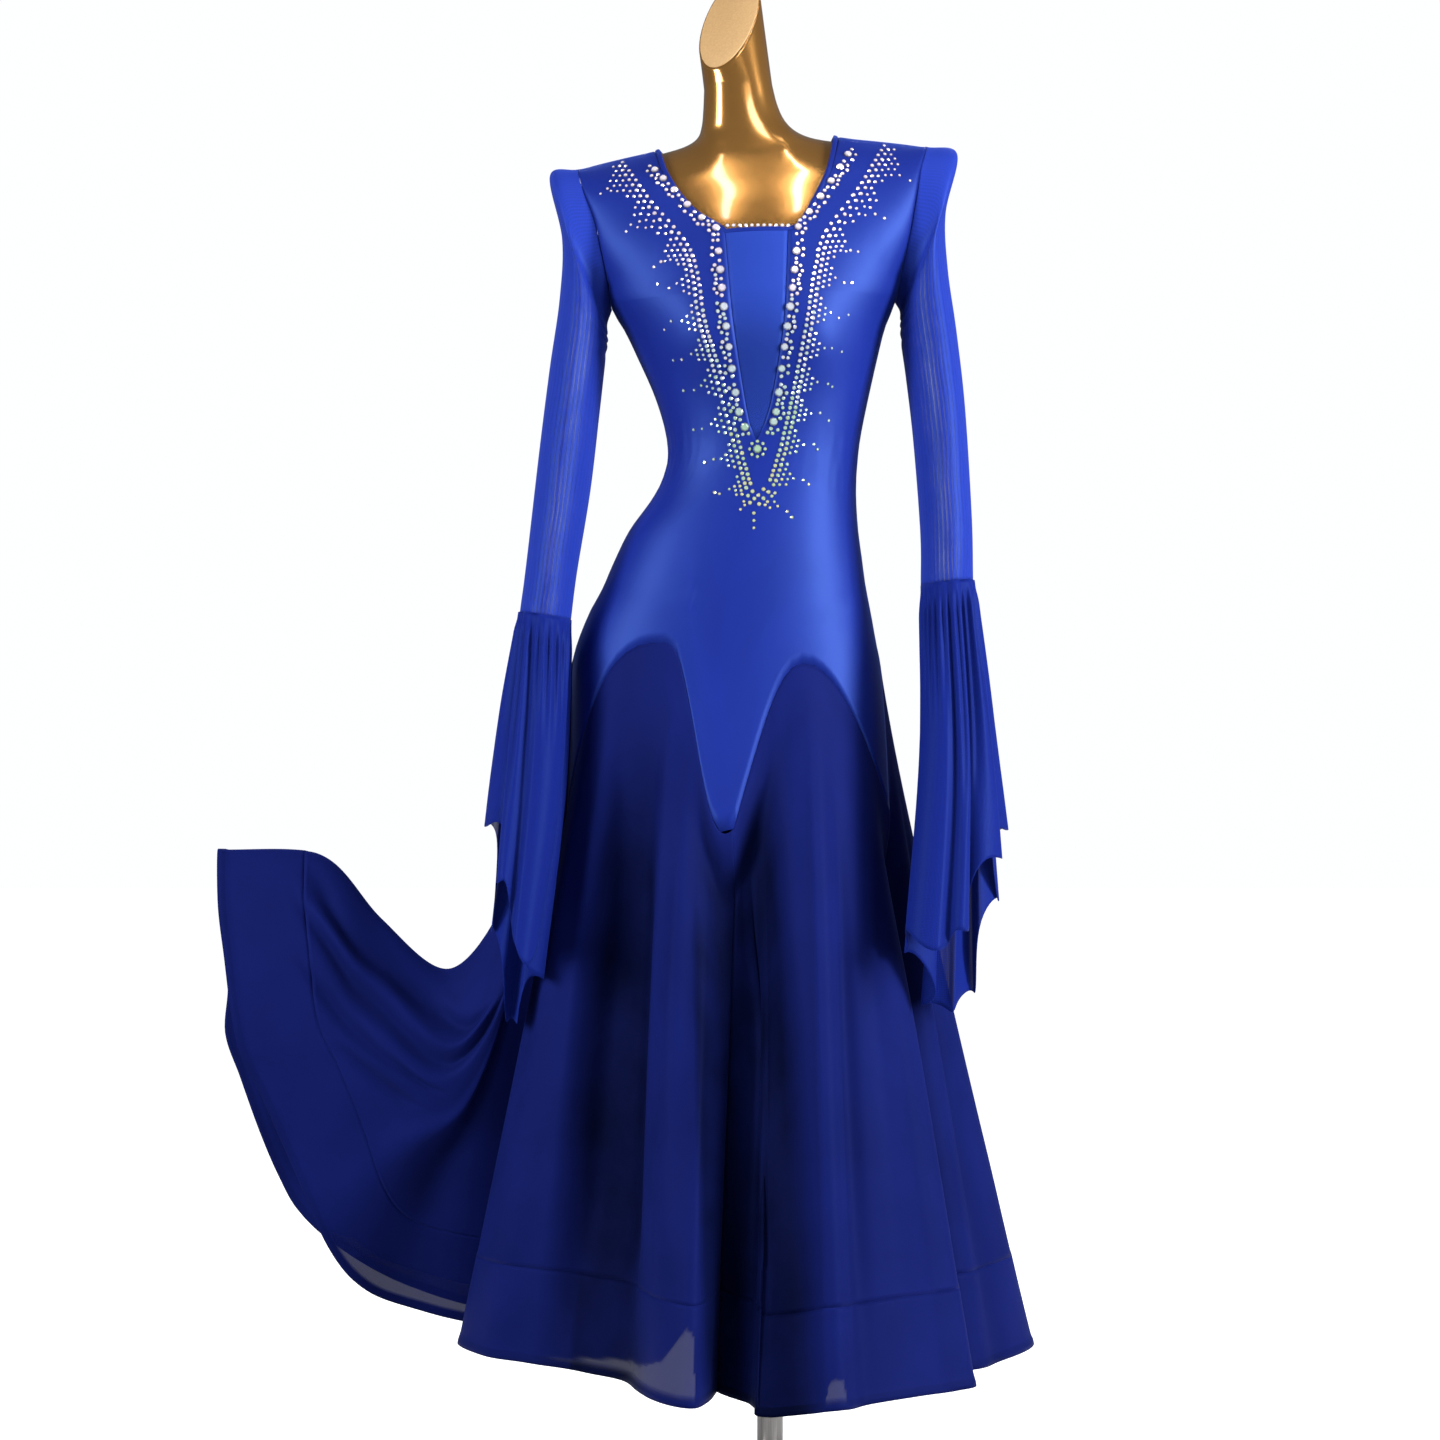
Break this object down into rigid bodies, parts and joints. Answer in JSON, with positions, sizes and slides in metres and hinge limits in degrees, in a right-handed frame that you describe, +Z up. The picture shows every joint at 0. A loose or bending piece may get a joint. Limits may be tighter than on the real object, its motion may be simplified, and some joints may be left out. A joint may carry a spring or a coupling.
{
  "type": "ballroom dance dress on dress form",
  "caption": "Long-sleeved royal blue ballroom dance dress with beaded neckline, flared net flounces and a lifted chiffon skirt, on a gold dress form with a steel pole stand",
  "frame": {"origin": "the centre of the underside of the stand's base disc", "axes": "+Z up along the pole, -Y is the front of the dress, +X is the right-hand side of someone looking at the front"},
  "size_m": [0.9053, 0.691, 1.7077],
  "materials": {
    "body_fabric": "satin stretch knit",
    "insert_mesh": "sheer stretch net",
    "skirt_chiffon": "sheer matt chiffon",
    "sleeve_mesh": "semi-sheer net",
    "form_gold": "gloss gold lacquer",
    "stand_steel": "satin steel"
  },
  "bodies": {
    "root": {"front_body": "body_fabric", "back_body": "body_fabric", "neck_insert": "insert_mesh", "neck_binding": "body_fabric", "front_left_gore": "skirt_chiffon", "front_left_hem_band": "skirt_chiffon", "front_right_gore": "skirt_chiffon", "front_right_hem_band": "skirt_chiffon", "side_right_gore": "skirt_chiffon", "side_right_hem_band": "skirt_chiffon", "back_right_gore": "skirt_chiffon", "back_right_hem_band": "skirt_chiffon", "back_left_gore": "skirt_chiffon", "back_left_hem_band": "skirt_chiffon", "side_left_gore": "skirt_chiffon", "side_left_hem_band": "skirt_chiffon", "left_sleeve": "sleeve_mesh", "right_sleeve": "sleeve_mesh", "left_flounce": "sleeve_mesh", "right_flounce": "sleeve_mesh", "dress_form": "form_gold", "form_flange": "stand_steel", "pole": "stand_steel", "base_hub": "stand_steel", "stand_base": "stand_steel"}
  },
  "joints": []
}
